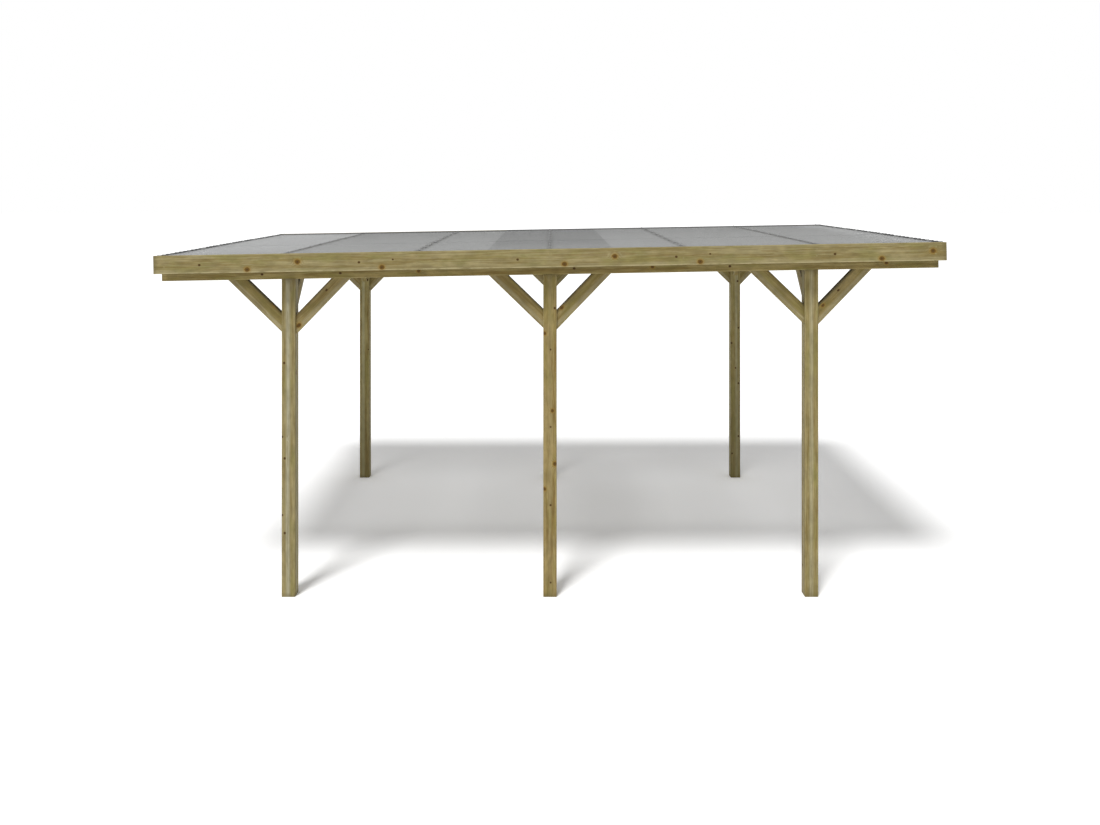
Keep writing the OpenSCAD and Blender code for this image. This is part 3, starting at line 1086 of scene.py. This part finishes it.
@dataclass
class RoofSheets:
    """Six corrugated sheets in two tiers of three, lapped at the sides and in the middle."""

    reach: float = 2.59
    length: float = 3.0
    all_width: float = 2.962
    side_lap: float = 0.114
    across: int = 3
    swing: float = 0.0084
    thickness: float = 0.0012
    cut: float = 0.0025
    layer: float = 0.0014
    base: float = 0.160
    wave_steps: int = 28
    length_steps: int = 10
    finish: SheetFinish = SheetFinish()

    @property
    def width(self) -> float:
        """The width of one sheet, so that all of them lap and fill the roof."""
        return (self.all_width + (self.across - 1) * self.side_lap) / self.across

    def span(self, tier: int, place: int) -> tuple[float, float, float, float, float]:
        """Where a sheet lies.

        Args:
            tier: 0 for the low tier and 1 for the high one.
            place: 0 for the front sheet, counted to the rear.

        Returns:
            Its low and high x, its low and high y, and how far it is lifted by those under it.
        """
        x_low = -self.reach if tier == 0 else self.reach - self.length
        y_low = place * (self.width - self.side_lap) - self.all_width / 2
        return x_low, x_low + self.length, y_low, y_low + self.width, (2 * tier + place % 2) * self.layer

    def wave(self, y: np.ndarray) -> np.ndarray:
        """Height of the sheet's lower face: a cosine of y with a crest over the middle of the roof."""
        return self.swing * (1.0 + np.cos(2.0 * math.pi * y / WAVE_PITCH))

    def sheet(self, tier: int, place: int) -> tuple[np.ndarray, np.ndarray, np.ndarray]:
        """One sheet: its closed wave profile, lower line and upper line, carried along x.

        The upper line ends a little sooner, so that the long edges are cut at a slant. Every second
        sheet lies over those beside it.

        Args:
            tier: 0 for the low tier and 1 for the high one.
            place: 0 for the front sheet, counted to the rear.

        Returns:
            Its points, its faces, and 1 for each point that shows the tint and 0 for the others: the
            upper face and the cut edges show it, except where the next sheet laps over them.
        """
        x_low, x_high, y_low, y_high, lift = self.span(tier, place)
        count = int(round(self.width / WAVE_PITCH * self.wave_steps)) + 1
        y = np.linspace(y_low, y_high, count)
        x = np.linspace(x_low, x_high, self.length_steps + 1)
        line = np.concatenate([y, np.clip(y[::-1], y_low + self.cut, y_high - self.cut)])
        rise = self.wave(line) + self.base + lift
        rise[count:] += self.thickness
        grid_x, grid_y = np.meshgrid(x, line, indexing="ij")
        points = on_slope(grid_x, grid_y, np.broadcast_to(rise, grid_x.shape)).reshape(-1, 3)
        around = len(line)
        i, j = np.meshgrid(np.arange(len(x) - 1), np.arange(around), indexing="ij")
        k = (j + 1) % around
        sides = np.stack([i * around + j, i * around + k, (i + 1) * around + k, (i + 1) * around + j], -1)
        n = np.arange(count - 1)
        near = np.stack([n, around - 1 - n, around - 2 - n, n + 1], -1)
        far = near[:, ::-1] + (len(x) - 1) * around
        faces = np.concatenate([sides.reshape(-1, 4)[:, ::-1], near[:, ::-1], far[:, ::-1]])
        tinted = (np.arange(around) >= count - 1) | (np.arange(around) == 0)
        if place % 2 == 0:
            for _, _, low, high, _ in (self.span(tier, i) for i in range(1, self.across, 2)):
                tinted &= (line < low) | (line > high)
        return points, faces, np.tile(tinted, len(x)).astype(float)

    def top(self, x: np.ndarray, y: np.ndarray) -> np.ndarray:
        """Level of the uppermost sheet: the highest lift of the sheets that cover each place.

        Args:
            x: Places along the roof.
            y: Places across it.

        Returns:
            Levels of the upper face.
        """
        lift = np.zeros(np.broadcast(x, y).shape)
        for tier in (0, 1):
            for place in range(self.across):
                x_low, x_high, y_low, y_high, up = self.span(tier, place)
                over = (x >= x_low) & (x <= x_high) & (y >= y_low) & (y <= y_high)
                lift = np.where(over, np.maximum(lift, up), lift)
        return self.base + lift + self.wave(y) + self.thickness

    def build(self) -> None:
        """Builds the six sheets, each in place of its CAD node."""
        finish = self.finish.dress()
        for tier, tier_name in enumerate(("low", "high")):
            for place in range(self.across):
                node = f"{tier_name}_roof_sheet_{place + 1}"
                points, faces, tinted = self.sheet(tier, place)
                piece = surface(f"{tier_name}_wave_sheet_{place + 1}", points, faces)
                piece.data.attributes.new(TINTED, "FLOAT", "POINT").data.foreach_set("value", tinted)
                piece.data.materials.append(finish)
                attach(piece, BODY)
                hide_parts(node)
                LOG.info("built %s in place of %s", piece.name, node)


@dataclass(frozen=True)
class PlainFinish:
    """A small fixing's finish: a colour with a little mottling, and its gloss."""

    name: str
    colour: str
    mottled: str
    metallic: float
    roughness: float
    dulling: float = 0.15
    patches: Pattern = Pattern((260.0, 260.0, 260.0), 3.0)
    tone_step: Step = (0.35, 0.65)
    dull_step: Step = (0.3, 0.7)

    def dress(self) -> bpy.types.Material:
        """Makes the material: two tones in fine patches, duller where it is darker.

        Returns:
            The material.
        """
        g, made, shader = Graph.material(self.name)
        patch = g.noise(g.place((0.0, 0.0, 0.0), (0.0, 0.0, 0.0)), self.patches)
        tone = g.mix(g.ramp(patch, *self.tone_step), linear(self.colour), linear(self.mottled))
        rough = g.ramp(patch, *self.dull_step, self.roughness, self.roughness + self.dulling)
        g.feed(shader, {"Base Color": tone, "Roughness": rough, "Metallic": self.metallic})
        return made


@dataclass
class Fixings:
    """Screws with sealing caps on the sheets' crests, and sunk screws in the long fascias.

    A profile gives the radius and height of each ring, from the middle outwards.
    """

    sheets: RoofSheets
    cap_profile: tuple[Pair, ...] = ((0.0, 0.0074), (0.0035, 0.0072), (0.0058, 0.0060), (0.0066, 0.0034),
                                     (0.0100, 0.0028), (0.0122, 0.0014), (0.0126, -0.0012))
    head_profile: tuple[Pair, ...] = ((0.0, -0.0022), (0.0018, -0.0020), (0.0021, 0.0004), (0.0038, 0.0006),
                                      (0.0046, 0.0002), (0.0047, -0.0010))
    cap_finish: PlainFinish = PlainFinish("sealing_cap", "8e8f8e", "828382", 0.0, 0.35)
    head_finish: PlainFinish = PlainFinish("yellowed_zinc", "a2976f", "8b7f58", 0.85, 0.42)
    segments: int = 14
    sharp: float = 50.0
    last_crest: int = 18
    crest_step: int = 4
    fascia_face: float = 1.5
    fascia_rows: Pair = (0.103, 0.147)

    def _piece(self, name: str, profile: Sequence[Pair], places: np.ndarray, normals: np.ndarray,
               finish: PlainFinish) -> None:
        """Builds joined copies of a small turned shape, which ride on the frame.

        Each copy is its profile swung round a normal: rings of faces, and a fan round the tip.

        Args:
            name: The piece's name.
            profile: The shape's profile.
            places: Where each copy sits.
            normals: The way each copy points, which is never along X.
            finish: Its finish.
        """
        radius, height = np.array(profile).T
        angle = np.linspace(0.0, 2.0 * math.pi, self.segments, endpoint=False)[None, :, None]
        first = np.cross(normals, [1.0, 0.0, 0.0])
        first /= np.linalg.norm(first, axis=1, keepdims=True)
        second = np.cross(normals, first)
        ring = np.cos(angle) * first[:, None] + np.sin(angle) * second[:, None]
        body = (places[:, None, None] + radius[None, 1:, None, None] * ring[:, None]
                + height[None, 1:, None, None] * normals[:, None, None])
        tip = places + height[0] * normals
        points = np.concatenate([tip[:, None], body.reshape(len(places), -1, 3)], 1)
        i, j = np.meshgrid(np.arange(len(radius) - 2), np.arange(self.segments), indexing="ij")
        k = (j + 1) % self.segments
        low, high = 1 + i * self.segments, 1 + (i + 1) * self.segments
        quads = np.stack([low + j, high + j, high + k, low + k], -1).reshape(-1, 4)
        fan = np.stack([0 * j[0], 1 + j[0], 1 + k[0]], -1)
        start = points.shape[1] * np.arange(len(places))[:, None, None]
        piece = surface(name, points.reshape(-1, 3), (quads + start).reshape(-1, 4),
                        (fan + start).reshape(-1, 3), sharp=self.sharp)
        piece.data.materials.append(finish.dress())
        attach(piece, BODY)
        LOG.info("built %s, %d of them", name, len(places))

    def build(self) -> None:
        """Builds the roof caps and the sunk screws."""
        s = math.radians(ROOF_SLOPE)
        crests = np.arange(-self.last_crest, self.last_crest + 1, self.crest_step) * WAVE_PITCH
        x, y = (grid.ravel() for grid in np.meshgrid(RAFTER_PLACES, crests, indexing="ij"))
        up = np.tile([-math.sin(s), 0.0, math.cos(s)], (len(x), 1))
        self._piece("roof_screw_caps", self.cap_profile, on_slope(x, y, self.sheets.top(x, y)), up,
                    self.cap_finish)
        x, level, side = (grid.ravel() for grid in np.meshgrid(RAFTER_PLACES, self.fascia_rows, (-1.0, 1.0),
                                                               indexing="ij"))
        out = np.stack([0.0 * x, side, 0.0 * x], -1)
        self._piece("fascia_screws", self.head_profile, on_slope(x, side * self.fascia_face, level), out,
                    self.head_finish)


@dataclass
class Studio:
    """Camera, sun, white floor and white surroundings."""

    eye: Point = (0.0, -7.847, 2.7326)
    focal_pixels: float = 970.6
    horizon_pixel: float = 187.15
    sensor: float = 36.0
    farthest: float = 500.0
    light_way: Point = (0.49, 1.14, -2.3)
    sun_power: float = 1.95
    sun_width: float = 13.0
    sky: float = 0.45
    floor_grey: float = 0.8
    floor_white: float = 1.25
    floor_half: float = 90.0

    def build(self) -> None:
        """Makes the camera, the sun, the surroundings and the floor."""
        self._camera()
        self._sun()
        self._sky()
        self._floor()

    def _camera(self) -> None:
        """A level camera whose frame is shifted down, so that the posts stay upright in the picture."""
        lens = bpy.data.cameras.new("camera")
        lens.sensor_fit = "HORIZONTAL"
        lens.sensor_width = self.sensor
        lens.lens = self.sensor * self.focal_pixels / PHOTO_WIDTH
        lens.shift_y = (self.horizon_pixel - PHOTO_HEIGHT / 2) / PHOTO_WIDTH
        lens.clip_end = self.farthest
        camera = linked("camera", lens)
        camera.location = self.eye
        camera.rotation_euler = (math.pi / 2, 0.0, 0.0)
        bpy.context.scene.camera = camera

    def _sun(self) -> None:
        """One broad sun from the front left, with soft shadows."""
        lamp = bpy.data.lights.new("sun", "SUN")
        lamp.energy = self.sun_power
        lamp.angle = math.radians(self.sun_width)
        x, y, z = self.light_way
        linked("sun", lamp).rotation_euler = (math.atan2(math.hypot(x, y), -z), 0.0,
                                              math.atan2(y, x) - math.pi / 2)

    @staticmethod
    def _seen(g: Graph) -> Socket:
        """1 for what the camera, a reflection or a clear sheet sees, and 0 for the light on the object."""
        path = g.add("ShaderNodeLightPath").outputs
        return g.math("MAXIMUM", g.math("MAXIMUM", path["Is Camera Ray"], path["Is Glossy Ray"]),
                      path["Is Transmission Ray"])

    def _sky(self) -> None:
        """White surroundings that light the object at a plain level."""
        world = bpy.data.worlds.new("surroundings")
        world.use_nodes = True
        g = Graph(world.node_tree)
        level = g.ramp(self._seen(g), 0.0, 1.0, self.sky, 1.0)
        g.feed(g.tree.nodes["Background"], {"Color": (1.0, 1.0, 1.0, 1.0), "Strength": level})
        bpy.context.scene.world = world

    def _floor(self) -> None:
        """A wide white floor that keeps the object's shadow."""
        square = np.array([[-1.0, -1.0, 0.0], [1.0, -1.0, 0.0], [1.0, 1.0, 0.0], [-1.0, 1.0, 0.0]])
        floor = surface("floor", self.floor_half * square, np.array([[0, 1, 2, 3]]))
        g, made, shader = Graph.material("white_floor")
        g.tree.nodes.remove(shader)
        grey = g.ramp(self._seen(g), 0.0, 1.0, self.floor_grey, self.floor_white)
        paint = g.add("ShaderNodeBsdfDiffuse", {"Color": grey})
        g.feed(g.tree.nodes["Material Output"], {"Surface": paint.outputs[0]})
        floor.data.materials.append(made)


def main() -> None:
    """Builds the studio, dresses the timbers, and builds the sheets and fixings."""
    logging.basicConfig(level=logging.INFO, format="%(name)s: %(message)s")
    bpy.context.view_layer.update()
    bpy.context.scene.view_settings.view_transform = "Standard"
    Studio().build()
    groups = PineGroups()
    Posts().dress(groups)
    RoofTimbers().dress(groups)
    KneeBraces().dress(groups)
    sheets = RoofSheets()
    sheets.build()
    Fixings(sheets).build()


if __name__ == "__main__":
    main()
